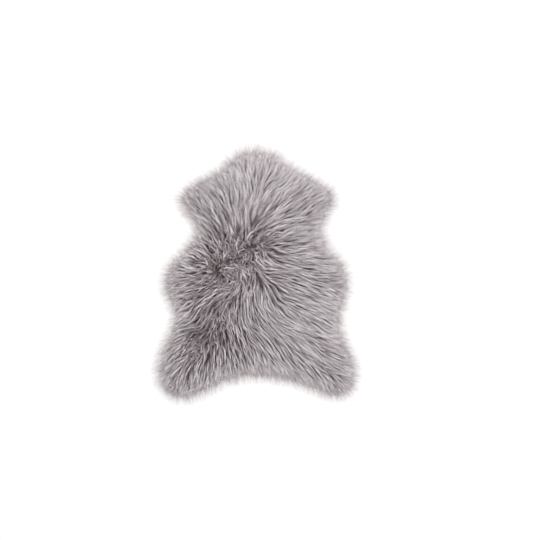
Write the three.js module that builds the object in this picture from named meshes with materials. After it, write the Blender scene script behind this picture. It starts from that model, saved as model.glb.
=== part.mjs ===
// A sheepskin rug: one whole pelt with long wool, lying flat on the floor.
// It is a single shaggy solid. A lumpy mass of wool stands on the skin, and two rows of pointed
// locks stand out all round its rim, the lower row resting on the floor.
// Millimetres, +Z up, +Y towards the neck end. The origin is on the floor, under the middle of the rug.
import * as THREE from "three";

// Driving dimensions.
const CROWN_HEIGHT = 40; // the wool over the middle of the pelt, before its tufts
const RIM_HEIGHT = 12; // the wool at its edge, where the lower locks leave it
const CLIMB = 95; // how far in from the edge the wool reaches its crown
const SKIRT = 7; // how far in from the edge the upper locks are rooted

const LOCKS_PER_ROW = 148;
const FLOOR_LOCK = { shortest: 16, longest: 28, tipHeight: 0 };
const UPPER_LOCK = { shortest: 14, longest: 24, tipHeight: 6 };
const LOCK_SWAY = 0.3; // the most a lock bends sideways, as a share of its length
const LOCK_SECTIONS = [0.4, 0.75]; // shares of a lock's length at which it has a section
const LOCK_FULLNESS = 0.8; // under 1 a lock keeps its girth further out before it comes to a point
const LOCK_DROOP = 1.5; // over 1 a lock leaves the wool level and drops towards its tip

const TUFT = { pitch: 40, length: 38, width: 16, lowest: 5, highest: 15 };
const TUFTS_FROM = 30; // how far in from the edge the tufts have their full height

// The edge of the dense wool, counter-clockwise from the neck.
const PELT_EDGE = [
  { place: "neck end", x: 5, y: 429 },
  { place: "left brow", x: -70, y: 411 },
  { place: "left neck slope", x: -130, y: 357 },
  { place: "left fore leg, front", x: -234, y: 299 },
  { place: "left fore leg, tip", x: -260, y: 265 },
  { place: "left fore leg, back", x: -245, y: 225 },
  { place: "left shoulder hollow", x: -204, y: 158 },
  { place: "left ribs", x: -250, y: 84 },
  { place: "left belly, front", x: -300, y: 30 },
  { place: "left belly", x: -318, y: -35 },
  { place: "left belly, back", x: -300, y: -88 },
  { place: "left flank hollow", x: -284, y: -150 },
  { place: "left thigh", x: -295, y: -200 },
  { place: "left hind leg, front", x: -328, y: -270 },
  { place: "left hind leg, side", x: -340, y: -345 },
  { place: "left hind leg, corner", x: -316, y: -402 },
  { place: "left hind leg, end", x: -262, y: -427 },
  { place: "left rump slope", x: -205, y: -414 },
  { place: "left rump", x: -110, y: -369 },
  { place: "tail hollow", x: -10, y: -350 },
  { place: "right rump", x: 120, y: -366 },
  { place: "right rump slope", x: 215, y: -402 },
  { place: "right hind leg, end", x: 275, y: -418 },
  { place: "right hind leg, corner", x: 322, y: -401 },
  { place: "right hind leg, side", x: 340, y: -350 },
  { place: "right hind leg, front", x: 330, y: -295 },
  { place: "right thigh", x: 301, y: -228 },
  { place: "right flank hollow", x: 286, y: -160 },
  { place: "right belly, back", x: 302, y: -90 },
  { place: "right belly", x: 314, y: -35 },
  { place: "right belly, front", x: 300, y: 24 },
  { place: "right ribs", x: 246, y: 94 },
  { place: "right shoulder hollow", x: 220, y: 160 },
  { place: "right fore leg, back", x: 240, y: 212 },
  { place: "right fore leg, tip", x: 266, y: 260 },
  { place: "right fore leg, front", x: 252, y: 290 },
  { place: "right neck slope", x: 105, y: 380 },
  { place: "right brow", x: 60, y: 415 },
];
const PELT_REACH = 430; // no place on the pelt is further than this from the origin along X or Y

// The wool is combed outwards from a parting that runs between two whorls on the back.
const SHOULDER_WHORL = new THREE.Vector2(-14, 95);
const HIP_WHORL = new THREE.Vector2(-149, -216);

// The rings of the wool's surface inside the skirt. They pass from the rim's shape to an oval on
// the back, then shrink to its middle.
const BACK_OVAL = { width: 300, length: 520 };
const RINGS_TO_OVAL = 12;
const RING_BANDS = [
  { rings: 8, stations: LOCKS_PER_ROW },
  { rings: 6, stations: LOCKS_PER_ROW / 2 },
  { rings: 5, stations: LOCKS_PER_ROW / 4 },
];

// A repeatable number from 0 to 1 for a pair of counters.
function scatter(i, j) {
  const wave = Math.sin(i * 127.1 + j * 311.7) * 43758.5453;
  return wave - Math.floor(wave);
}

function between(low, high, share) {
  return low + (high - low) * share;
}

// The rim as evenly spaced stations, each with its outward direction.
function rimStations(count) {
  const points = PELT_EDGE.map(({ x, y }) => new THREE.Vector3(x, y, 0));
  const curve = new THREE.CatmullRomCurve3(points, true, "centripetal");
  curve.arcLengthDivisions = 20 * points.length;
  return Array.from({ length: count }, (_, k) => {
    const { x, y } = curve.getPointAt(k / count);
    const tangent = curve.getTangentAt(k / count);
    return { at: new THREE.Vector2(x, y), out: new THREE.Vector2(tangent.y, -tangent.x) };
  });
}

// A place on the oval on the back, a share of the way round it from the neck end.
function ovalPlace(share) {
  const turn = 2 * Math.PI * share;
  return new THREE.Vector2(-Math.sin(turn) * BACK_OVAL.width / 2, Math.cos(turn) * BACK_OVAL.length / 2);
}

// The direction in which the wool is combed at a place, away from the nearest point of the parting.
function combed(place) {
  const parting = new THREE.Vector2().subVectors(HIP_WHORL, SHOULDER_WHORL);
  const along = place.clone().sub(SHOULDER_WHORL).dot(parting) / parting.lengthSq();
  const nearest = parting.multiplyScalar(THREE.MathUtils.clamp(along, 0, 1)).add(SHOULDER_WHORL);
  return place.clone().sub(nearest).normalize();
}

// Tufts lie in jittered rows over the pelt, each combed outwards.
function layTufts() {
  const tufts = [];
  for (let x = -PELT_REACH; x <= PELT_REACH; x += TUFT.pitch) {
    for (let y = -PELT_REACH; y <= PELT_REACH; y += TUFT.pitch) {
      const jitter = new THREE.Vector2(scatter(x, y), scatter(y, x)).multiplyScalar(TUFT.pitch);
      const at = new THREE.Vector2(x, y).add(jitter);
      const height = between(TUFT.lowest, TUFT.highest, scatter(x + 1, y + 2));
      tufts.push({ at, height, lie: combed(at) });
    }
  }
  return tufts;
}

// A tuft rises slowly along its lie and drops off quickly beyond its top.
function tuftHeight(tuft, place) {
  const offset = place.clone().sub(tuft.at);
  const along = offset.dot(tuft.lie) / TUFT.length;
  const across = offset.cross(tuft.lie) / TUFT.width;
  const slope = along > 0 ? 2 * along : along;
  return tuft.height * Math.exp(-slope * slope - across * across);
}

// The height of the wool over a place inside the rim: a domed body under the tallest tuft there.
function woolHeight(place, rim, tufts) {
  const inside = Math.min(...rim.map(({ at }) => at.distanceTo(place)));
  const rest = 1 - Math.min(inside / CLIMB, 1);
  const body = between(RIM_HEIGHT, CROWN_HEIGHT, Math.sqrt(1 - rest * rest));
  const tallest = Math.max(...tufts.map((tuft) => tuftHeight(tuft, place)));
  return body + tallest * Math.min(inside / TUFTS_FROM, 1);
}

// Collects points and triangles. Faces run counter-clockwise seen from outside.
class Skin {
  constructor() {
    this.points = [];
    this.triangles = [];
  }

  point(place, z) {
    return this.points.push([place.x, place.y, z]) - 1;
  }

  ring(places, height) {
    return places.map((place) => this.point(place, height(place)));
  }

  quad(a, b, c, d) {
    this.triangles.push([a, b, c], [a, c, d]);
  }

  // Joins a ring to one inside or above it that has the same number of stations, or half as many.
  join(outer, inner) {
    const step = outer.length / inner.length;
    inner.forEach((start, k) => {
      const end = inner[(k + 1) % inner.length];
      const edge = Array.from({ length: step + 1 }, (_, n) => outer[(k * step + n) % outer.length]);
      if (step === 1) {
        this.quad(edge[0], edge[1], end, start);
      } else {
        this.triangles.push([edge[0], edge[1], start], [edge[1], end, start], [edge[1], edge[2], end]);
      }
    });
  }

  // Closes a ring round one middle point. It faces up if the ring runs counter-clockwise.
  close(ring, middle) {
    ring.forEach((start, k) => {
      this.triangles.push([start, ring[(k + 1) % ring.length], middle]);
    });
  }

  // Draws a four-sided lock out of the open quad whose corners are given, ending in a point.
  // A lock whose tip is on the floor tapers down onto it, and any other tapers to its own middle.
  lock(corners, out, length, sway, tipHeight) {
    const roots = corners.map((corner) => new THREE.Vector3(...this.points[corner]));
    const root = roots.reduce((sum, p) => sum.add(p), new THREE.Vector3()).divideScalar(4);
    root.z = tipHeight > 0 ? root.z : 0;
    const ahead = new THREE.Vector3(out.x, out.y, 0).multiplyScalar(length);
    const aside = new THREE.Vector3(-out.y, out.x, 0).multiplyScalar(length * sway);
    const spine = (share) => {
      const centre = root.clone().addScaledVector(ahead, share).addScaledVector(aside, share ** 2);
      centre.z = between(root.z, tipHeight, share ** LOCK_DROOP);
      return centre;
    };
    let section = corners;
    for (const share of LOCK_SECTIONS) {
      const girth = (1 - share) ** LOCK_FULLNESS;
      const next = roots.map((p) => {
        const corner = p.clone().sub(root).multiplyScalar(girth).add(spine(share));
        return this.points.push(corner.toArray()) - 1;
      });
      section.forEach((p, n) => this.quad(p, section[(n + 1) % 4], next[(n + 1) % 4], next[n]));
      section = next;
    }
    this.close(section, this.points.push(spine(1).toArray()) - 1);
  }

  // The geometry, moved so that the origin is on the floor under the middle of the whole.
  geometry() {
    const made = new THREE.BufferGeometry();
    made.setAttribute("position", new THREE.Float32BufferAttribute(this.points.flat(), 3));
    made.setIndex(this.triangles.flat());
    made.computeBoundingBox();
    const middle = made.boundingBox.getCenter(new THREE.Vector3());
    made.translate(-middle.x, -middle.y, -made.boundingBox.min.z);
    made.computeVertexNormals();
    return made;
  }
}

// The wall between two rings of the rim. Every other quad of it grows a lock, from the first one given.
function lockRow(skin, lower, upper, rim, first, size) {
  for (let k = 0; k < lower.length; k += 1) {
    const next = (k + 1) % lower.length;
    const corners = [lower[k], lower[next], upper[next], upper[k]];
    if (k % 2 === first) {
      const out = rim[k].out.clone().add(rim[next].out).normalize();
      const length = between(size.shortest, size.longest, scatter(k, first));
      const sway = between(-LOCK_SWAY, LOCK_SWAY, scatter(first + 7, k));
      skin.lock(corners, out, length, sway, size.tipHeight);
    } else {
      skin.quad(...corners);
    }
  }
}

// The wool's surface, ring by ring from the skirt to the middle of the back.
function woolSurface(skin, skirt, skirtEdge, wool) {
  const ringsInOval = 1 + RING_BANDS.reduce((sum, band) => sum + band.rings, -RINGS_TO_OVAL);
  const oval = skirtEdge.map((_, k) => ovalPlace(k / skirtEdge.length));
  let outer = skirt;
  let drawn = 0;
  for (const { rings, stations } of RING_BANDS) {
    const spacing = skirtEdge.length / stations;
    for (let n = 0; n < rings; n += 1) {
      drawn += 1;
      const toOval = Math.min(drawn / RINGS_TO_OVAL, 1);
      const size = 1 - Math.max(drawn - RINGS_TO_OVAL, 0) / ringsInOval;
      const places = skirtEdge
        .map((place, k) => place.clone().lerp(oval[k], toOval).multiplyScalar(size))
        .filter((_, k) => k % spacing === 0);
      const inner = skin.ring(places, wool);
      skin.join(outer, inner);
      outer = inner;
    }
  }
  const middle = new THREE.Vector2(0, 0);
  skin.close(outer, skin.point(middle, wool(middle)));
}

function shagGeometry() {
  const skin = new Skin();
  const rim = rimStations(2 * LOCKS_PER_ROW);
  const tufts = layTufts();
  const wool = (place) => woolHeight(place, rim, tufts);

  const edge = rim.map(({ at }) => at);
  const skirtEdge = rim.map(({ at, out }) => at.clone().addScaledVector(out, -SKIRT));
  const floor = skin.ring(edge, () => 0);
  const brim = skin.ring(edge, () => RIM_HEIGHT);
  const skirt = skin.ring(skirtEdge, wool);

  lockRow(skin, floor, brim, rim, 0, FLOOR_LOCK);
  lockRow(skin, brim, skirt, rim, 1, UPPER_LOCK);
  woolSurface(skin, skirt, skirtEdge, wool);
  skin.close(floor.toReversed(), skin.point(new THREE.Vector2(0, 0), 0));
  return skin.geometry();
}

const wool = new THREE.MeshStandardMaterial({ color: 0xa49da0, roughness: 1, metalness: 0 });
const sheepskin = new THREE.Mesh(shagGeometry(), wool);
sheepskin.name = "sheepskin";

const rug = new THREE.Group();
rug.add(sheepskin);

export default rug;
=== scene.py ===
"""A long-wool sheepskin rug, strand by strand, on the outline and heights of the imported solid.

Metres, +Z up, +Y towards the neck end. The wool is combed outwards from a crest on the left of the
shoulders and from a parting that runs on to the left hip. It grows in wisps, which are bundles of
strands that end in a point, and every strand is a closed three-sided spike.
"""
import math
from collections import namedtuple

import bpy
import numpy as np
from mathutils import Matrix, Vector
from mathutils.bvhtree import BVHTree


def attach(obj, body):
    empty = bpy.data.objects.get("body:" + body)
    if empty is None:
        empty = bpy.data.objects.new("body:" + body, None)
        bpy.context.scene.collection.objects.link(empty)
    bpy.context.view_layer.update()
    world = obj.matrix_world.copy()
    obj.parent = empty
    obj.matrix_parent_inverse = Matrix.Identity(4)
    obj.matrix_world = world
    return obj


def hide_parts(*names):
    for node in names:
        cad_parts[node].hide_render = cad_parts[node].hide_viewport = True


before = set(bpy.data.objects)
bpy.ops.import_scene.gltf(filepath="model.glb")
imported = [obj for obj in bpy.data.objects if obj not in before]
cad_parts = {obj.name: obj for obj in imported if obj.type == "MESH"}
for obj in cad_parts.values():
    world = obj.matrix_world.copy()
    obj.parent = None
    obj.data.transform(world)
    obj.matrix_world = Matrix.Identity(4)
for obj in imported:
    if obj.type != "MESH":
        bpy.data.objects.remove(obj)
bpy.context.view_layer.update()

MM = 0.001
TINY = 1e-9  # stands in for a length or gap of nothing where one is divided by
SOLID = "sheepskin"
BODY = "root"
SEED = 5

# The solid's own named sizes.
RIM_HEIGHT = 12 * MM
CROWN_HEIGHT = 40 * MM
CLIMB = 95 * MM  # from the rim to the crown

# The skin, and the underwool on it.
HIDE_INSET = 26 * MM  # from the rim
HIDE_THICKNESS = 2 * MM
HIDE_CORNERS = 360
HIDE_RINGS = 8
UNDERWOOL_INSET = 30 * MM  # from the rim
UNDERWOOL_SHARE = 0.38  # of the wool's height
UNDERWOOL_CORNERS = 300
UNDERWOOL_RINGS = 34

# The wool's height.
RELIEF = 0.6  # share of the solid's tufts that the wool follows
TUFTS_FROM = 15 * MM  # how far inside the rim the tufts begin to count
REACH = 28 * MM  # how far beyond the rim the height is down to REACH_HEIGHT
REACH_HEIGHT = 3 * MM
FALL_END = 1.3  # times REACH, where it stops falling

# The coats of wool, from the skin up. pitch is between the wisps' roots and width is from a wisp's middle
# to its side, both in millimetres, like the shortest and longest wisp. points are those along a strand,
# with its tip. lowest and highest are shares of the wool's height, between which a wisp lies. tone runs
# from dark, 0, to light, 1, and shade is how much painted shade darkens it round a whorl. stray is how
# far, in radians, the wisps of a whorl turn from the wool's lie.
Coat = namedtuple("Coat", "name pitch strands points width shortest longest lowest highest tone shade stray")
COATS = [
    Coat("undercoat", 10.4, 6, 3, 2.6, 58, 80, 0.84, 0.95, 0.50, 0.50, 0.8),
    Coat("top coat", 13.4, 12, 4, 2.6, 72, 102, 0.90, 1.0, 0.52, 0.24, 0.45),
]
WHORL_COAT = Coat("whorls", 6.6, 8, 5, 2.1, 34, 60, 0.56, 0.90, 0.56, 0.20, 1.0)

# Where the wool lies which way, in millimetres and in degrees counter-clockwise from +X.
Lie = namedtuple("Lie", "place x y heading")
COMBING = [
    Lie("neck end", 0, 415, 78),
    Lie("left brow", -105, 380, 123),
    Lie("right brow", 115, 380, 52),
    Lie("middle of the neck", -35, 310, 94),
    Lie("left cheek", -145, 320, 140),
    Lie("left of the neck", -90, 270, 98),
    Lie("left nape", -140, 255, 122),
    Lie("right of the neck", 70, 290, 40),
    Lie("nape", 5, 235, 62),
    Lie("left fore leg, tip", -255, 285, 141),
    Lie("left fore leg, back", -225, 205, 141),
    Lie("right fore leg, root", 155, 250, 38),
    Lie("right fore leg, tip", 265, 270, 35),
    Lie("right fore leg, back", 240, 200, 22),
    Lie("left shoulder", -110, 160, 118),
    Lie("left elbow", -190, 155, 137),
    Lie("withers", -40, 175, 87),
    Lie("right of the withers", 20, 160, 40),
    Lie("right shoulder blade", 75, 150, 13),
    Lie("right shoulder", 155, 140, 10),
    Lie("left ribs", -205, 95, 158),
    Lie("left ribs, edge", -270, 55, 168),
    Lie("over the crest, left", -140, 78, 115),
    Lie("over the crest", -90, 85, 92),
    Lie("curl", -42, 50, 235),
    Lie("under the crest", -90, 12, 352),
    Lie("right of the crest", 10, 50, 305),
    Lie("right ribs", 95, 60, -8),
    Lie("right of the back", 58, 0, -10),
    Lie("right ribs, edge", 275, 45, 0),
    Lie("left belly, edge", -300, -45, 192),
    Lie("left belly", -195, -55, 198),
    Lie("left of the back", -115, -60, 205),
    Lie("back, left", -42, -47, 252),
    Lie("back", 5, -55, 270),
    Lie("right belly", 155, -55, -19),
    Lie("right belly, edge", 310, -55, -18),
    Lie("left flank", -280, -175, 201),
    Lie("over the hip", -185, -140, 240),
    Lie("left loin", -205, -190, 200),
    Lie("loin, left", -90, -150, 277),
    Lie("loin", -70, -200, 296),
    Lie("loin, right", 10, -195, 315),
    Lie("right loin", 120, -175, -29),
    Lie("right flank", 275, -175, -25),
    Lie("croup", -140, -260, 269),
    Lie("left thigh", -265, -280, 226),
    Lie("left hind leg, side", -330, -335, 224),
    Lie("left hind leg, end", -265, -405, 254),
    Lie("left rump", -175, -350, 264),
    Lie("tail", -40, -325, 285),
    Lie("right rump", 85, -330, 299),
    Lie("right thigh", 205, -280, -34),
    Lie("right thigh, edge", 255, -250, -17),
    Lie("right hind leg", 190, -350, 304),
    Lie("right hind leg, side", 310, -330, -20),
    Lie("right hind leg, end", 255, -405, -59),
]
COMBING_BLUR = 12 * MM  # added to the distance of each place, which smooths the lie
COMBING_FALL = 3  # the power of that distance by which a place counts for less

# Where the wool parts, stands up, curls and shows its dark roots, in millimetres. Turmoil and shade are
# from 0 to 1. Where shade darkens the wool's colour round a whorl, it is painted shade of its partings.
Whorl = namedtuple("Whorl", "place x y radius turmoil shade")
WHORLS = [
    Whorl("crest, left end", -150, 8, 32, 0.9, 0.5),
    Whorl("crest, left", -112, 60, 34, 0.8, 0.5),
    Whorl("under the crest", -92, 25, 40, 0.8, 0.4),
    Whorl("right under the crest", -25, 35, 30, 0.7, 0.0),
    Whorl("crest", -68, 76, 34, 0.9, 0.5),
    Whorl("crest, right", -22, 84, 30, 0.8, 0.4),
    Whorl("crest, right end", 14, 112, 26, 0.6, 0.3),
    Whorl("parting", -92, -35, 42, 0.6, 0.3),
    Whorl("parting, rear", -107, -125, 34, 0.6, 0.4),
    Whorl("flank", -204, -78, 22, 0.5, 0.4),
    Whorl("hip", -165, -200, 36, 0.65, 1.0),
    Whorl("thigh", -212, -250, 30, 0.6, 0.6),
    Whorl("loin", -80, -227, 20, 0.4, 0.4),
]
# Where the shade round a whorl darkens the wool's colour, it is painted shade.
SHADE_SPREAD = 2.3  # how far the wool is darker round a whorl, times its radius

# Where the wool is lighter or darker, as a change of tone, and where its wisps are broader or narrower
# than elsewhere, as a share of their width. Places and radii are in millimetres.
# These tones are partly the wool's own and partly painted light and shade, such as the painted shade in the
# partings of the crest and the hip.
Patch = namedtuple("Patch", "place x y radius tone breadth")
PATCHES = [
    Patch("middle of the neck", -25, 325, 65, 0.22, 0.2),
    Patch("nape", -30, 215, 115, -0.07, 1.7),
    Patch("left of the nape", -105, 192, 38, -0.22, 0.0),
    Patch("left fore leg", -200, 290, 60, -0.08, 0.0),
    Patch("right fore leg", 220, 260, 80, -0.15, 0.0),
    Patch("crest", -85, 85, 35, -0.28, 0.0),
    Patch("right shoulder", 150, 130, 80, -0.06, 0.4),
    Patch("right of the crest", 10, 18, 48, 0.32, 0.0),
    Patch("end of the crest", -150, 12, 24, -0.22, 0.0),
    Patch("left ribs", -215, 25, 50, 0.16, 0.0),
    Patch("back", 70, 10, 75, -0.14, 0.3),
    Patch("right ribs", 250, 0, 65, -0.08, 0.0),
    Patch("loin", -85, -150, 50, 0.20, 0.0),
    Patch("hip", -172, -202, 44, -0.80, 0.0),
    Patch("rump", -20, -215, 100, 0.12, -0.75),
    Patch("croup", 175, -170, 70, 0.10, 0.0),
    Patch("right thigh", 330, -290, 60, -0.14, 0.0),
]

# The wool's pieces, by where their wisps are rooted, in millimetres.
NECK = 150
LOIN = -210
BACK_LEFT = -95
BACK_RIGHT = 105
TAIL = -20
Zone = namedtuple("Zone", "name left right rear front")
ZONES = [
    Zone("wool_neck", -math.inf, math.inf, NECK, math.inf),
    Zone("wool_left_flank", -math.inf, BACK_LEFT, LOIN, NECK),
    Zone("wool_right_flank", BACK_RIGHT, math.inf, LOIN, NECK),
    Zone("wool_back", BACK_LEFT, BACK_RIGHT, LOIN, NECK),
    Zone("wool_left_haunch", -math.inf, TAIL, -math.inf, LOIN),
    Zone("wool_right_haunch", TAIL, math.inf, -math.inf, LOIN),
]


def srgb(red, green, blue):
    """A colour from screen values of 0 to 255 as the linear RGBA that a shader takes."""
    levels = np.array([red, green, blue]) / 255
    linear = np.where(levels <= 0.04045, levels / 12.92, ((levels + 0.055) / 1.055) ** 2.4)
    return (*linear.tolist(), 1.0)


def smoothstep(x):
    x = np.clip(x, 0, 1)
    return x * x * (3 - 2 * x)


def heading_vectors(angles):
    return np.stack([np.cos(angles), np.sin(angles)], -1)


def unit(vectors):
    return vectors / np.maximum(np.linalg.norm(vectors, axis=-1, keepdims=True), TINY)


# ---------------------------------------------------------------------------------------------
# The pelt's outline and height
# ---------------------------------------------------------------------------------------------

class Pelt:
    """The solid's outline, and maps on a square grid: depth, height, lie, whorls and patches."""

    STEP = 4 * MM
    MARGIN = 60 * MM  # how far the grid goes on beyond the rim
    SAME_HEIGHT = 0.01 * MM
    SAME_PLACE = 0.1 * MM
    CHUNKS = 12  # the depth is measured in as many goes, which saves memory
    HALVINGS = 14  # of the gap in which an outline's point is looked for

    def __init__(self, node):
        self.rim = self.find_rim(node)
        self.low = self.rim.min(0) - self.MARGIN
        counts = np.ceil((np.ptp(self.rim, axis=0) + 2 * self.MARGIN) / self.STEP).astype(int)
        xs, ys = (self.low[axis] + self.STEP * np.arange(counts[axis] + 1) for axis in (0, 1))
        self.places = np.stack(np.meshgrid(xs, ys, indexing="ij"), -1)
        self.depth = self.measure_depth()
        self.height = self.measure_height(node)
        self.combing = self.lay_combing()
        self.turmoil = self.lay_whorls("turmoil", 1)
        self.shade = self.lay_whorls("shade", SHADE_SPREAD)
        self.patches = sum(row.tone * self.bump(row, row.radius * MM) for row in PATCHES)
        self.breadth = 1 + sum(row.breadth * self.bump(row, row.radius * MM) for row in PATCHES)

    def find_rim(self, node):
        """The rim's points, counter-clockwise: places with a point both on the floor and at rim height."""
        points = np.array([vertex.co for vertex in node.data.vertices])

        def at_height(z):
            level = points[np.abs(points[:, 2] - z) < self.SAME_HEIGHT, :2]
            return {tuple(place) for place in np.round(level / self.SAME_PLACE).astype(int)}

        rim = np.array(sorted(at_height(0) & at_height(RIM_HEIGHT))) * self.SAME_PLACE
        return rim[np.argsort(np.arctan2(rim[:, 1], rim[:, 0]))]

    def measure_depth(self):
        """How far inside the rim each place of the grid is, negative outside."""
        flat = self.places.reshape(-1, 2)
        starts, ends = self.rim, np.roll(self.rim, -1, axis=0)
        along = ends - starts
        depth = np.empty(len(flat))
        for chunk in np.array_split(np.arange(len(flat)), self.CHUNKS):
            offset = flat[chunk, None] - starts
            share = np.clip((offset * along).sum(-1) / (along ** 2).sum(-1), 0, 1)
            gaps = np.linalg.norm(offset - share[..., None] * along, axis=-1)
            depth[chunk] = gaps.min(1)
        return np.where(self.inside(flat), depth, -depth).reshape(self.places.shape[:2])

    def radius_at(self, angles):
        """The rim's distance from the origin in these directions. It has only one in each."""
        turns = np.arctan2(self.rim[:, 1], self.rim[:, 0])
        return np.interp(angles, turns, np.linalg.norm(self.rim, axis=1), period=2 * math.pi)

    def inside(self, places):
        angles = np.arctan2(places[:, 1], places[:, 0])
        return np.linalg.norm(places, axis=1) < self.radius_at(angles)

    def measure_height(self, node):
        """The wool's height: the solid's dome and a share of its tufts, falling away beyond the rim."""
        rest = 1 - np.clip(self.depth / CLIMB, 0, 1)
        dome = RIM_HEIGHT + (CROWN_HEIGHT - RIM_HEIGHT) * np.sqrt(1 - rest ** 2)
        tree = BVHTree.FromPolygons(
            [vertex.co for vertex in node.data.vertices],
            [polygon.vertices for polygon in node.data.polygons],
        )
        tops = dome.copy()
        for i, j in np.argwhere(self.depth > TUFTS_FROM):
            x, y = self.places[i, j]
            hit = tree.ray_cast(Vector((x, y, 1)), Vector((0, 0, -1)))[0]
            if hit is not None:
                tops[i, j] = hit.z
        height = dome + RELIEF * (tops - dome)
        fall = np.clip(-self.depth / REACH, 0, FALL_END)
        return np.where(self.depth < 0, RIM_HEIGHT + (REACH_HEIGHT - RIM_HEIGHT) * fall, height)

    def lay_combing(self):
        """The unit direction of the wool's lie on the grid, mostly from the nearest places of the table."""
        total = np.zeros_like(self.places)
        for row in COMBING:
            weight = 1 / (self.distance(row) + COMBING_BLUR) ** COMBING_FALL
            total += weight[..., None] * heading_vectors(math.radians(row.heading))
        return unit(total)

    def distance(self, row):
        """How far each place of the grid is from a row's place."""
        return np.linalg.norm(self.places - np.array([row.x, row.y]) * MM, axis=-1)

    def bump(self, row, radius):
        """A smooth bump of this radius over a row's place, 1 in its middle."""
        return np.exp(-((self.distance(row) / radius) ** 2))

    def lay_whorls(self, column, spread):
        """A column of the whorls' table on the grid, with the whorls' radii times this spread."""
        calm = np.ones(self.places.shape[:2])
        for row in WHORLS:
            calm *= 1 - getattr(row, column) * self.bump(row, spread * row.radius * MM)
        return 1 - calm

    def read(self, field, places):
        """A map's values at any places, from the four grid points round each."""
        last = np.array(self.depth.shape) - 1.001  # a little short of the grid's far edges
        cells = np.clip((places - self.low) / self.STEP, 0, last)
        i, j = np.floor(cells).astype(int).transpose(-1, *range(cells.ndim - 1))
        across, up = (cells - np.floor(cells)).transpose(-1, *range(cells.ndim - 1))
        if field.ndim == 3:
            across, up = across[..., None], up[..., None]
        near = field[i, j] * (1 - up) + field[i, j + 1] * up
        far = field[i + 1, j] * (1 - up) + field[i + 1, j + 1] * up
        return near * (1 - across) + far * across

    def outline(self, inset, count):
        """Points at this depth inside the rim, one in each of count directions from the origin."""
        angles = np.linspace(-math.pi, math.pi, count, endpoint=False)
        out = heading_vectors(angles)
        inner, outer = np.zeros(count), self.radius_at(angles)
        for _ in range(self.HALVINGS):
            middle = (inner + outer) / 2
            deep = self.read(self.depth, out * middle[:, None]) > inset
            inner, outer = np.where(deep, middle, inner), np.where(deep, outer, middle)
        return out * inner[:, None]


# ---------------------------------------------------------------------------------------------
# Meshes
# ---------------------------------------------------------------------------------------------

# A strand's places on its map: its length runs across, and its tone up.
MAP_LAYER = "OFBake"
MAP_EDGE = 0.01  # left free before the root and below the darkest tone
MAP_WIDTH = 0.98  # from the root to the tip
MAP_HEIGHT = 0.97  # from the darkest tone to the lightest
MAP_SIDES = 1 / 512  # from one side of a strand to the next, so that none of its faces is empty there


def joined(meshes):
    """One mesh of points, faces and map places from several."""
    points, faces, maps = zip(*meshes)
    firsts = np.cumsum([0] + [len(part) for part in points[:-1]])
    faces = np.concatenate([part + first for part, first in zip(faces, firsts)])
    return np.concatenate(points), faces, np.concatenate(maps)


def mesh_piece(name, points, faces, material, map_places=None):
    """A smooth-shaded mesh piece that rides on the rug's body."""
    mesh = bpy.data.meshes.new(name)
    mesh.from_pydata(points, [], faces)
    mesh.polygons.foreach_set("use_smooth", np.ones(len(mesh.polygons), bool))
    if map_places is not None:
        corners = np.empty(len(mesh.loops), np.int32)
        mesh.loops.foreach_get("vertex_index", corners)
        layer = mesh.uv_layers.new(name=MAP_LAYER)
        layer.uv.foreach_set("vector", map_places[corners].astype(np.float32).ravel())
    mesh.materials.append(material)
    piece = bpy.data.objects.new(name, mesh)
    bpy.context.scene.collection.objects.link(piece)
    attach(piece, BODY)
    return piece


def spikes(centres, radii, tones):
    """Closed three-sided spikes along centre lines, whose last point is the tip.

    centres is strands x points x 3, radii strands x (points - 1) and tones strands x points.
    Returns the points, the faces and the places on a map of share along the strand by tone.
    """
    strands, stations = centres.shape[:2]
    rings = stations - 1
    ahead = unit(np.gradient(centres, axis=1))
    side = unit(np.cross(ahead, [0, 0, 1]))
    above = np.cross(side, ahead)
    turns = np.radians([90, 210, 330])
    around = (np.cos(turns)[:, None] * side[:, :rings, None]
              + np.sin(turns)[:, None] * above[:, :rings, None])
    ring_points = centres[:, :rings, None] + radii[:, :, None, None] * around
    points = np.concatenate([ring_points.reshape(strands, 3 * rings, 3), centres[:, -1:]], axis=1)

    tip = 3 * rings
    faces = [(2, 1, 0)]
    for ring in range(rings - 1):
        for k in range(3):
            a, b = 3 * ring + k, 3 * ring + (k + 1) % 3
            faces.append((a, b, b + 3))
            faces.append((a, b + 3, a + 3))
    faces += [(tip - 3 + k, tip - 3 + (k + 1) % 3, tip) for k in range(3)]
    first = (tip + 1) * np.arange(strands)
    all_faces = (first[:, None, None] + np.array(faces)).reshape(-1, 3)

    share = np.repeat(np.append(np.repeat(np.arange(rings) / rings, 3), 1.0)[None], strands, 0)
    apart = np.append(np.tile([0, 1, 2], rings), 1) * MAP_SIDES
    tones = np.concatenate([np.repeat(tones[:, :rings], 3, axis=1), tones[:, -1:]], axis=1)
    maps = np.stack([MAP_EDGE + MAP_WIDTH * share, MAP_EDGE + MAP_HEIGHT * tones + apart], -1)
    return points.reshape(-1, 3), all_faces, maps.reshape(-1, 2)


RING_CROWDING = 1.2  # above 1, a dome's rings lie closer together towards its outline


def dome(outline, top, rings, floor):
    """A closed mesh over an outline, from its height function down to the floor given."""
    count = len(outline)
    points, faces = [], []
    for ring in range(rings):
        share = 1 - (ring / rings) ** RING_CROWDING
        points.append(np.column_stack([outline * share, top(outline * share)]))
    points.append([[0, 0, float(top(np.zeros((1, 2)))[0])]])
    points.append(np.column_stack([outline, np.full(count, floor)]))
    points.append([[0, 0, floor]])
    middle, base = rings * count, rings * count + 1
    for k in range(count):
        after = (k + 1) % count
        for ring in range(rings - 1):
            a, b = ring * count + k, ring * count + after
            faces.append((a, b, b + count, a + count))
        faces.append(((rings - 1) * count + k, (rings - 1) * count + after, middle))
        faces.append((base + k, base + after, after, k))
        faces.append((base + after, base + k, base + count))
    return np.concatenate(points), faces


# ---------------------------------------------------------------------------------------------
# Materials
# ---------------------------------------------------------------------------------------------

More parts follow.
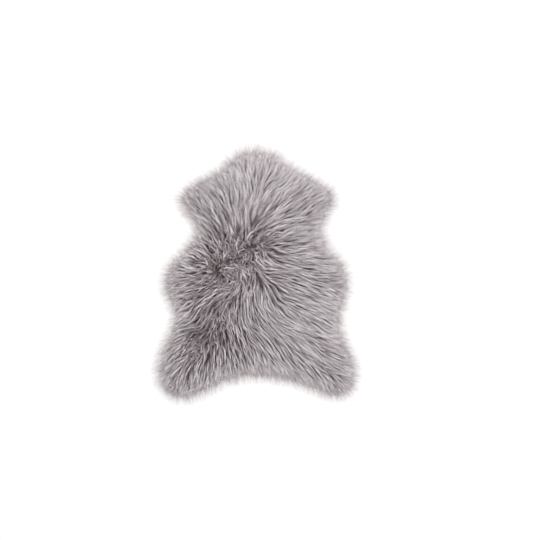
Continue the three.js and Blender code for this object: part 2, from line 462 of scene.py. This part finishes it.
# A strand's colours by tone. They multiply those from its root, 0, to its tip, 1.
TONES = [
    (0.0, (0.262, 0.203, 0.216, 1)),
    (0.5, (0.64, 0.62, 0.64, 1)),
    (1.0, (1.0, 0.965, 0.955, 1)),
]
WOOL_ALONG = [
    (0.0, srgb(106, 90, 93)),
    (0.35, srgb(183, 174, 176)),
    (0.7, srgb(217, 213, 215)),
    (1.0, srgb(233, 229, 230)),
]
# The fringe's colours, from root, 0, to tip, 1: partly the thin wool's own and partly painted light, lighter
# and warmer as if lit through.
FRINGE_ALONG = [
    (0.0, srgb(190, 180, 182)),
    (0.5, srgb(214, 199, 198)),
    (1.0, srgb(226, 205, 200)),
]

# The underwool's colours by shade, a painted shade that is darker in the deep gaps round the whorls. They
# multiply those of its speckles.
UNDERWOOL_SHADES = [
    (0.0, srgb(130, 113, 116)),
    (0.8, srgb(76, 58, 60)),
]


def new_material(name, roughness, specular, sheen):
    """A material, with its shader."""
    material = bpy.data.materials.new(name)
    material.use_nodes = True
    shader = material.node_tree.nodes["Principled BSDF"]
    shader.inputs["Roughness"].default_value = roughness
    shader.inputs["Specular IOR Level"].default_value = specular
    shader.inputs["Sheen Weight"].default_value = sheen
    shader.inputs["Sheen Roughness"].default_value = 0.4
    return material, shader


def ramp(tree, stops, value):
    """A colour ramp over a value, from a list of positions and colours."""
    node = tree.nodes.new("ShaderNodeValToRGB")
    while len(node.color_ramp.elements) < len(stops):
        node.color_ramp.elements.new(0.5)
    for element, (position, colour) in zip(node.color_ramp.elements, stops):
        element.position = position
        element.color = colour
    tree.links.new(value, node.inputs["Fac"])
    return node.outputs["Color"]


def multiplied(tree, first, second):
    node = tree.nodes.new("ShaderNodeMix")
    node.data_type = "RGBA"
    node.blend_type = "MULTIPLY"
    node.inputs["Factor"].default_value = 1.0
    tree.links.new(first, node.inputs["A"])
    tree.links.new(second, node.inputs["B"])
    return node.outputs["Result"]


def wool_material(name, along, sheen):
    """Wool coloured from root to tip, and lighter or darker by each strand's tone."""
    material, shader = new_material(name, roughness=0.5, specular=0.35, sheen=sheen)
    tree = material.node_tree
    places = tree.nodes.new("ShaderNodeUVMap")
    places.uv_map = MAP_LAYER
    apart = tree.nodes.new("ShaderNodeSeparateXYZ")
    tree.links.new(places.outputs["UV"], apart.inputs["Vector"])
    length = ramp(tree, along, apart.outputs["X"])
    tone = ramp(tree, TONES, apart.outputs["Y"])
    tree.links.new(multiplied(tree, length, tone), shader.inputs["Base Color"])
    return material


def speckled_material(name, dark, light, scale, bump, roughness):
    """A matt surface mottled between two colours, with a fine grain in relief."""
    material, shader = new_material(name, roughness=roughness, specular=0.15, sheen=0.2)
    tree = material.node_tree
    places = tree.nodes.new("ShaderNodeTexCoord")
    noise = tree.nodes.new("ShaderNodeTexNoise")
    noise.inputs["Scale"].default_value = scale
    noise.inputs["Detail"].default_value = 6
    tree.links.new(places.outputs["Object"], noise.inputs["Vector"])
    colour = ramp(tree, [(0.3, dark), (0.7, light)], noise.outputs["Fac"])
    tree.links.new(colour, shader.inputs["Base Color"])
    relief = tree.nodes.new("ShaderNodeBump")
    relief.inputs["Strength"].default_value = bump
    relief.inputs["Distance"].default_value = 0.5 * MM
    tree.links.new(noise.outputs["Fac"], relief.inputs["Height"])
    tree.links.new(relief.outputs["Normal"], shader.inputs["Normal"])
    return material


def matted_material():
    """The underwool: speckled, and darker by painted shade where the point attribute "shade" is higher."""
    material = speckled_material(
        "matted_wool", srgb(190, 186, 187), srgb(255, 250, 252), scale=120, bump=1.0, roughness=0.95)
    tree = material.node_tree
    base = tree.nodes["Principled BSDF"].inputs["Base Color"]
    speckle = base.links[0].from_socket
    shade = tree.nodes.new("ShaderNodeAttribute")
    shade.attribute_name = "shade"
    colour = ramp(tree, UNDERWOOL_SHADES, shade.outputs["Fac"])
    tree.links.new(multiplied(tree, speckle, colour), base)
    return material


# ---------------------------------------------------------------------------------------------
# The wisps
# ---------------------------------------------------------------------------------------------

ROW_SPACING = 0.866  # of the pitch, which puts the roots in triangles
ROOT_JITTER = 0.38  # of the pitch, either way


def scattered_roots(pelt, pitch, inset, random):
    """Jittered places of a staggered grid, wherever the rim is farther off than the inset."""
    low, high = pelt.rim.min(0), pelt.rim.max(0)
    rows = np.arange(low[1], high[1], pitch * ROW_SPACING)
    roots = []
    for number, y in enumerate(rows):
        xs = np.arange(low[0] + pitch / 2 * (number % 2), high[0], pitch)
        roots.append(np.column_stack([xs, np.full(len(xs), y)]))
    roots = np.concatenate(roots)
    roots += random.uniform(-ROOT_JITTER, ROOT_JITTER, roots.shape) * pitch
    return roots[pelt.read(pelt.depth, roots) > inset]


ROOT_MARGIN = 1 * MM  # from the hide's edge to the outermost roots
THINNING = 0.5  # how many wisps are missing in the shade round a whorl, as a share
WHORL_COAT_EDGE = (0.15, 0.6)  # the turmoil at which the whorls' own coat begins


def coat_roots(pelt, coat, random, only_whorls):
    """The roots of a coat's wisps, thinned out round the whorls, or only in them."""
    roots = scattered_roots(pelt, coat.pitch * MM, HIDE_INSET + ROOT_MARGIN, random)
    if only_whorls:
        kept = pelt.read(pelt.turmoil, roots) > random.uniform(*WHORL_COAT_EDGE, len(roots))
    else:
        ring = pelt.read(pelt.shade, roots) - pelt.read(pelt.turmoil, roots)
        kept = THINNING * ring < random.random(len(roots))
    return roots[kept]


WAVE_SIZES = (0.7, 1.4)  # of the wavelength asked for


def slow_waves(random, places, wavelength, count=5):
    """A random number for each place, mostly from -1 to 1, that changes smoothly between places."""
    total = np.zeros(len(places))
    for _ in range(count):
        direction = heading_vectors(random.uniform(0, 2 * math.pi))
        phase = random.uniform(0, 2 * math.pi)
        size = wavelength * random.uniform(*WAVE_SIZES)
        total += np.sin(places @ direction * 2 * math.pi / size + phase)
    return total / math.sqrt(count)


WALK_STEPS = 12
ROOT_SWERVE = 0.7  # how much of its swerve a wisp has at its root
SWERVE_GAIN = 0.5  # how much more it has at its tip


def walk(pelt, roots, lengths, swerve, curl, curl_phase):
    """Paths that follow the wool's lie from their roots, each swerving and waving in its own way."""
    paths = [roots]
    for step in range(WALK_STEPS):
        share = (step + 0.5) / WALK_STEPS
        lie = pelt.read(pelt.combing, paths[-1])
        angle = np.arctan2(lie[:, 1], lie[:, 0])
        gain = ROOT_SWERVE + SWERVE_GAIN * share
        angle += swerve * gain + curl * np.sin(curl_phase + 2 * math.pi * share)
        paths.append(paths[-1] + heading_vectors(angle) * (lengths / WALK_STEPS)[:, None])
    return np.stack(paths, 1)


RIM_ENDS = (-19 * MM, 8 * MM)  # how deep inside the rim its wisps end, negative beyond it
WHORL_EDGE = (0.5, 0.8)  # the turmoil at which a wisp that comes from outside ends
LEAST_LENGTH = 0.35  # share of its length that such a wisp keeps at least


def drawn_in(pelt, paths, turmoil, random):
    """The paths, drawn in towards their roots if they would pass the rim or lie across a whorl."""
    roots, tips = paths[:, 0], paths[:, -1]
    start, depth = pelt.read(pelt.depth, roots), pelt.read(pelt.depth, tips)
    limit = random.uniform(*RIM_ENDS, len(paths))
    share = np.where(depth < limit, (start - limit) / np.maximum(start - depth, TINY), 1.0)
    edge = random.uniform(*WHORL_EDGE, len(paths))[:, None]
    across = (pelt.read(pelt.turmoil, paths) > edge) & (turmoil[:, None] < edge)
    before = np.where(across.any(1), across.argmax(1) / WALK_STEPS, 1.0)
    share = np.minimum(share, np.maximum(before, LEAST_LENGTH))
    return roots[:, None] + (paths - roots[:, None]) * share[:, None, None]


WHORL_SHORTENING = 0.4  # how much shorter the wisps of a whorl are, as a share
SLOW_SWERVE = 0.12  # radians, by which neighbours swerve together
SLOW_SWERVE_SIZE = 80 * MM
OWN_SWERVE = 0.06  # radians
CURL = 0.10  # radians
SHADE_CURL = 2  # how much more they curl in the shade, times CURL
WHORL_CURL = 7  # how much more in a whorl, times CURL and the coat's stray
WHORL_SINK = 0.15  # how much lower they lie in a whorl at most, as a share of the wool's height
TONE_SPREAD = 0.18
SHADE_TONE_SPREAD = 0.28  # how much more of it there is in the shade
WHORL_TONE = 0.25  # how much darker they are in a whorl
# Painted shade: wisps that lie lower are made darker, as if shaded by those over them.
LEVEL_PAINTED_SHADE = 0.7  # how much lighter they are, times how far above their coat's middle they lie

Wisps = namedtuple("Wisps", "roots paths levels tones shades")


def grow_wisps(pelt, coat, random, only_whorls):
    """A coat's wisps: each one's root, middle line, level and tone, and the shade at its root."""
    roots = coat_roots(pelt, coat, random, only_whorls)
    count = len(roots)
    turmoil = pelt.read(pelt.turmoil, roots)
    shade = pelt.read(pelt.shade, roots)

    lengths = random.uniform(coat.shortest, coat.longest, count) * MM * (1 - WHORL_SHORTENING * turmoil)
    swerve = SLOW_SWERVE * slow_waves(random, roots, SLOW_SWERVE_SIZE)
    swerve += random.normal(0, OWN_SWERVE, count)
    swerve += turmoil * random.normal(0, coat.stray, count)
    curl = random.normal(0, CURL, count) * (1 + SHADE_CURL * shade + WHORL_CURL * coat.stray * turmoil)
    phase = random.uniform(0, 2 * math.pi, count)
    paths = drawn_in(pelt, walk(pelt, roots, lengths, swerve, curl, phase), turmoil, random)

    level = random.uniform(coat.lowest, coat.highest, count) - WHORL_SINK * turmoil * random.random(count)
    tone = coat.tone + random.normal(0, 1, count) * (TONE_SPREAD + SHADE_TONE_SPREAD * shade)
    tone -= WHORL_TONE * turmoil
    # Painted shade: a lower wisp is darker.
    tone += LEVEL_PAINTED_SHADE * (level - (coat.lowest + coat.highest) / 2)
    return Wisps(roots, paths, level, tone, shade)


# ---------------------------------------------------------------------------------------------
# The strands
# ---------------------------------------------------------------------------------------------

# Painted light: the thin wool of the rim is made lighter, as if lit through its sparse strands and from the
# floor below.
RIM_PAINTED_LIGHT = 0.06  # how much lighter the thin wool of the rim is
RIM_PAINTED_LIGHT_DEPTH = 30 * MM


def local_tones(pelt, tones, shade, flat):
    """Each point's tone: its strand's own, lighter at the rim by painted light, darker round whorls by
    painted shade, and by patches.
    """
    # Painted light lightens the thin wool at the rim.
    rim = np.exp(-np.clip(pelt.read(pelt.depth, flat), 0, None) / RIM_PAINTED_LIGHT_DEPTH)
    local = tones[:, None] + RIM_PAINTED_LIGHT * rim + pelt.read(pelt.patches, flat)
    # Painted shade darkens the wool round the whorls.
    local -= shade * pelt.read(pelt.shade, flat)
    return np.clip(local, 0, 1)


def along_path(paths, owners, shares):
    """Points of each owner's path at the given shares of its length."""
    steps = paths.shape[1] - 1
    at = np.clip(shares * steps, 0, steps - 1e-6)  # short of the last point, so that one follows
    whole = np.floor(at).astype(int)
    part = (at - whole)[..., None]
    rows = owners[:, None]
    return paths[rows, whole] * (1 - part) + paths[rows, whole + 1] * part


# How a wisp's strands lie. Their places run from -1 at its one side to 1 at its other.
PLACE_JITTER = 0.15
STACK_SPREAD = (0.3, 1.0)  # how high they are stacked, as shares of the wisp's round back
STACK_MIDDLE = 0.6  # the share at which a strand lies at its wisp's level
STACK_HEIGHT = 1.3  # of the round back, times the wisp's width
STRAND_ENDS = (0.55, 1.0)  # shares of the wisp's length
LOOK = 0.04  # share of the wisp's length over which its direction is measured, either way
CLOSING = 0.7  # the power by which the strands close in towards the wisp's point
RIM_SPREAD = 45 * MM  # the nearer than this to the rim a wisp ends, the more it stays wide instead
RIM_WIDTH = 1.2  # how wide it stays at the rim, times its width
FRIZZ = 0.3 * MM
ROOT_LEVEL = 0.4  # how high a strand starts, as a share of its level
RISE_END = 0.42  # share of the wisp's length by which it has risen
TIP_SAG = 3 * MM  # at most
LEAST_HEIGHT = 1.2 * MM

# How thick and how light they are.
STRAND_RADIUS = 0.5 * MM
RADIUS_SPREAD = (0.75, 1.25)
STRAND_TAPER = 0.72  # of its radius, at a strand's last point before the tip
# Painted light and shade: a wisp's round back is made lighter and its sides darker, more so in the shade
# round whorls.
BACK_PAINTED_SHADING = 0.3  # how much lighter a wisp's back is than its sides
SHADE_BACK_PAINTED_SHADING = 4  # how much more it is in the shade, times BACK_PAINTED_SHADING
STRAND_TONE_SPREAD = 0.06


def grow_coat(pelt, coat, random, only_whorls=False):
    """One coat's strands: centre lines, radii, tones and the place of each one's root."""
    wisps = grow_wisps(pelt, coat, random, only_whorls)
    wisp_count = len(wisps.roots)
    count = wisp_count * coat.strands
    owner = np.repeat(np.arange(wisp_count), coat.strands)
    place = np.tile(np.linspace(-1, 1, coat.strands), wisp_count) + random.normal(0, PLACE_JITTER, count)
    stack = np.sqrt(np.clip(1 - place ** 2, 0, 1)) * random.uniform(*STACK_SPREAD, count)
    end = random.uniform(*STRAND_ENDS, count)

    # The strands lie side by side and close in towards their wisp's point.
    shares = np.linspace(0, 1, coat.points) * end[:, None]
    flat = along_path(wisps.paths, owner, shares)
    ahead = unit(along_path(wisps.paths, owner, np.minimum(shares + LOOK, 1))
                 - along_path(wisps.paths, owner, np.maximum(shares - LOOK, 0)))
    aside = np.stack([-ahead[..., 1], ahead[..., 0]], -1)
    inland = np.clip(pelt.read(pelt.depth, wisps.paths[:, -1]) / RIM_SPREAD, 0, 1)[owner][:, None]
    width = coat.width * MM * (inland * (1 - shares) ** CLOSING + (1 - inland) * RIM_WIDTH)
    width *= pelt.read(pelt.breadth, flat)
    offset = place[:, None] * width + random.normal(0, FRIZZ, shares.shape)
    flat = flat + aside * offset[..., None]

    # They rise from the skin to their wisp's level, are stacked over its round back, and sag at the tip.
    rise = ROOT_LEVEL + (1 - ROOT_LEVEL) * smoothstep(shares / RISE_END)
    z = pelt.read(pelt.height, flat) * rise * wisps.levels[owner][:, None]
    z += (stack[:, None] - STACK_MIDDLE) * STACK_HEIGHT * width
    z -= TIP_SAG * shares ** 3 * random.random(count)[:, None]
    centres = np.concatenate([flat, np.maximum(z, LEAST_HEIGHT)[..., None]], -1)

    taper = np.linspace(1, STRAND_TAPER, coat.points - 1)
    radii = STRAND_RADIUS * taper * random.uniform(*RADIUS_SPREAD, count)[:, None]
    # Painted light and shade over the wisp's round back: lighter on top, darker at the sides.
    back = BACK_PAINTED_SHADING * (1 + SHADE_BACK_PAINTED_SHADING * wisps.shades[owner]) * (stack - 0.5)
    tones = wisps.tones[owner] + back + random.normal(0, STRAND_TONE_SPREAD, count)
    return centres, radii, local_tones(pelt, tones, coat.shade, flat), wisps.roots[owner]


FRINGE_STRANDS = 10000
FRINGE_RADIUS = 0.22 * MM
FRINGE_RADIUS_SPREAD = (0.7, 1.3)
FRINGE_TAPER = (1.0, 0.8)  # shares of its radius, at a strand's root and middle
FRINGE_ROOTS = (8 * MM, 45 * MM)  # how deep inside the rim they are, measured square to it
FRINGE_REACH = 1.4 * REACH  # of the longest strands, beyond the rim
FRINGE_THINNING = 1.3  # the power by which they get fewer on the way there
FRINGE_COMBING = 0.8  # how much the wool's lie counts beside the way straight out
FRINGE_STRAY = 0.22  # radians
FRINGE_BEND = 0.25  # radians
FRINGE_MIDDLE = 0.65  # share of the length at which a strand bends
LEAST_COSINE = 0.35  # of the angle to the way straight out, which keeps strands along the rim short
FRINGE_LEVELS = (0.45, 1.05)  # shares of the wool's height
FRINGE_ARCH = (0.85, 0.95, 0.8)  # shares of its level, at a strand's root, middle and tip
FRINGE_LEAST_HEIGHT = 0.8 * MM
FRINGE_TONE = 0.5
FRINGE_TONE_SPREAD = 0.1


def grow_fringe(pelt, random):
    """The fine wool that thins out beyond the rim: centre lines, radii and tones."""
    starts, ends = pelt.rim, np.roll(pelt.rim, -1, axis=0)
    sides = np.linalg.norm(ends - starts, axis=1)
    pick = random.choice(len(starts), FRINGE_STRANDS, p=sides / sides.sum())
    share = random.random(FRINGE_STRANDS)[:, None]
    at = starts[pick] * (1 - share) + ends[pick] * share
    tangent = (ends - starts)[pick] / sides[pick][:, None]
    out = np.stack([tangent[:, 1], -tangent[:, 0]], 1)
    ahead = out + FRINGE_COMBING * pelt.read(pelt.combing, at)
    angle = np.arctan2(ahead[:, 1], ahead[:, 0]) + random.normal(0, FRINGE_STRAY, FRINGE_STRANDS)
    bend = random.normal(0, FRINGE_BEND, FRINGE_STRANDS)

    beyond = FRINGE_REACH * random.random(FRINGE_STRANDS) ** FRINGE_THINNING
    cosine = np.maximum((heading_vectors(angle) * out).sum(1), LEAST_COSINE)
    before = random.uniform(*FRINGE_ROOTS, FRINGE_STRANDS)
    length = (beyond + before) / cosine
    root = at - heading_vectors(angle) * (before / cosine)[:, None]
    middle = root + heading_vectors(angle - bend / 2) * (length * FRINGE_MIDDLE)[:, None]
    tip = middle + heading_vectors(angle + bend) * (length * (1 - FRINGE_MIDDLE))[:, None]
    flat = np.stack([root, middle, tip], 1)

    level = random.uniform(*FRINGE_LEVELS, FRINGE_STRANDS)[:, None]
    z = np.maximum(pelt.read(pelt.height, flat) * level * np.array(FRINGE_ARCH), FRINGE_LEAST_HEIGHT)
    thickness = random.uniform(*FRINGE_RADIUS_SPREAD, FRINGE_STRANDS)[:, None]
    radii = FRINGE_RADIUS * np.array(FRINGE_TAPER) * thickness
    tones = random.normal(FRINGE_TONE, FRINGE_TONE_SPREAD, FRINGE_STRANDS)
    return np.concatenate([flat, z[..., None]], -1), radii, local_tones(pelt, tones, 0, flat)


# ---------------------------------------------------------------------------------------------
# The pieces
# ---------------------------------------------------------------------------------------------

def make_hide(pelt):
    """The skin, with its flat size and its area."""
    outline = pelt.outline(HIDE_INSET, HIDE_CORNERS)
    points, faces = dome(outline, lambda p: np.full(len(p), HIDE_THICKNESS), HIDE_RINGS, 0.0)
    suede = speckled_material(
        "suede", srgb(196, 178, 158), srgb(222, 207, 189), scale=60, bump=0.4, roughness=0.9)
    hide = mesh_piece("hide", points, faces, suede)
    turned = np.roll(outline, -1, axis=0)
    area = float(abs((outline[:, 0] * turned[:, 1] - outline[:, 1] * turned[:, 0]).sum()) / 2)
    return hide, np.ptp(outline, axis=0), area


def make_underwool(pelt):
    """The matted wool on the skin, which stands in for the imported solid."""
    outline = pelt.outline(UNDERWOOL_INSET, UNDERWOOL_CORNERS)

    def top(places):
        return UNDERWOOL_SHARE * pelt.read(pelt.height, places)

    points, faces = dome(outline, top, UNDERWOOL_RINGS, HIDE_THICKNESS)
    underwool = mesh_piece("underwool", points, faces, matted_material())
    # Painted shade: the underwool is darker in the deep gaps round the whorls.
    shades = underwool.data.attributes.new("shade", "FLOAT", "POINT")
    shades.data.foreach_set("value", pelt.read(pelt.shade, points[:, :2]))
    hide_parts(SOLID)
    return underwool


def make_wool(pelt, random):
    """The coats, cut into zones, and the fringe."""
    fleece = wool_material("long_wool", WOOL_ALONG, sheen=0.25)
    coats = [grow_coat(pelt, coat, random) for coat in COATS]
    coats.append(grow_coat(pelt, WHORL_COAT, random, only_whorls=True))
    pieces = []
    for zone in ZONES:
        meshes = []
        for centres, radii, tones, roots in coats:
            x, y = (roots / MM).T
            held = (x >= zone.left) & (x < zone.right) & (y >= zone.rear) & (y < zone.front)
            meshes.append(spikes(centres[held], radii[held], tones[held]))
        points, faces, maps = joined(meshes)
        print(f"{zone.name}: {len(faces)} triangles")
        pieces.append(mesh_piece(zone.name, points, faces, fleece, maps))
    points, faces, maps = spikes(*grow_fringe(pelt, random))
    print(f"wool_fringe: {len(faces)} triangles")
    # The fringe's light, warm colours are partly painted light.
    halo = wool_material("fringe_wool", FRINGE_ALONG, sheen=0.3)
    pieces.append(mesh_piece("wool_fringe", points, faces, halo, maps))
    return pieces


# ---------------------------------------------------------------------------------------------
# The studio
# ---------------------------------------------------------------------------------------------

FLOOR_HALF = 12.0  # metres, from its middle to each side
FLOOR_DROP = 0.2 * MM  # how far it is below the hide, so that the two aren't in one plane
FLOOR_GREY = 0.15
FLOOR_GLOW = 0.69
WORLD_STRENGTH = 1.58
WHITE = (1, 1, 1, 1)

Light = namedtuple("Light", "name azimuth elevation watts")
LIGHTS = [
    Light("key", 35, 48, 560),
    Light("fill", 145, 45, 170),
]
LIGHT_DISTANCE = 7.7
LIGHT_SIZE = 4.0
LIGHT_COLOUR = (1.0, 0.995, 0.99)


def make_floor():
    """A grey floor that glows white, so that the rug throws hardly any shadow, as in the picture."""
    floor = bpy.data.meshes.new("studio_floor")
    half = FLOOR_HALF
    corners = [(-half, -half, 0), (half, -half, 0), (half, half, 0), (-half, half, 0)]
    floor.from_pydata(corners, [], [(0, 1, 2, 3)])
    plane = bpy.data.objects.new("studio_floor", floor)
    bpy.context.scene.collection.objects.link(plane)
    plane.location.z = -FLOOR_DROP
    paint, shader = new_material("studio_white", roughness=0.9, specular=0.0, sheen=0.0)
    shader.inputs["Base Color"].default_value = (FLOOR_GREY, FLOOR_GREY, FLOOR_GREY, 1)
    shader.inputs["Emission Color"].default_value = WHITE
    shader.inputs["Emission Strength"].default_value = FLOOR_GLOW
    floor.materials.append(paint)


def make_lamp(light):
    """A round softbox that faces the rug."""
    softbox = bpy.data.lights.new(light.name, "AREA")
    softbox.shape = "DISK"
    softbox.size = LIGHT_SIZE
    softbox.energy = light.watts
    softbox.color = LIGHT_COLOUR
    lamp = bpy.data.objects.new(light.name, softbox)
    azimuth, elevation = math.radians(light.azimuth), math.radians(light.elevation)
    level = math.cos(elevation)
    lamp.location = LIGHT_DISTANCE * Vector(
        (level * math.cos(azimuth), level * math.sin(azimuth), math.sin(elevation)))
    lamp.rotation_euler = (-lamp.location).to_track_quat("-Z", "Y").to_euler()
    bpy.context.scene.collection.objects.link(lamp)


def make_world():
    world = bpy.data.worlds.new("studio")
    world.use_nodes = True
    background = world.node_tree.nodes["Background"]
    background.inputs["Color"].default_value = WHITE
    background.inputs["Strength"].default_value = WORLD_STRENGTH
    bpy.context.scene.world = world
    bpy.context.scene.view_settings.view_transform = "Standard"


def make_studio():
    make_floor()
    for light in LIGHTS:
        make_lamp(light)
    make_world()


IMAGE_WIDTH_PX = 540
MM_PER_PX = 730 / 211  # the rug's width over the pixels it spans
RUG_MIDDLE_PX = (257.0, 274.3)
LENS_MM = 85
SENSOR_MM = 36


def make_camera():
    """A camera straight above, which puts the rug where the picture has it."""
    lens = bpy.data.cameras.new("camera")
    lens.lens = LENS_MM
    lens.sensor_width = SENSOR_MM
    eye = bpy.data.objects.new("camera", lens)
    width = IMAGE_WIDTH_PX * MM_PER_PX * MM
    shift_x = (IMAGE_WIDTH_PX / 2 - RUG_MIDDLE_PX[0]) * MM_PER_PX * MM
    shift_y = (RUG_MIDDLE_PX[1] - IMAGE_WIDTH_PX / 2) * MM_PER_PX * MM
    eye.location = (shift_x, shift_y, width * LENS_MM / SENSOR_MM + CROWN_HEIGHT / 2)
    bpy.context.scene.collection.objects.link(eye)
    bpy.context.scene.camera = eye


make_camera()
make_studio()
the_pelt = Pelt(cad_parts[SOLID])
hide, hide_size, hide_area = make_hide(the_pelt)
underwool = make_underwool(the_pelt)
wool = make_wool(the_pelt, np.random.default_rng(SEED))
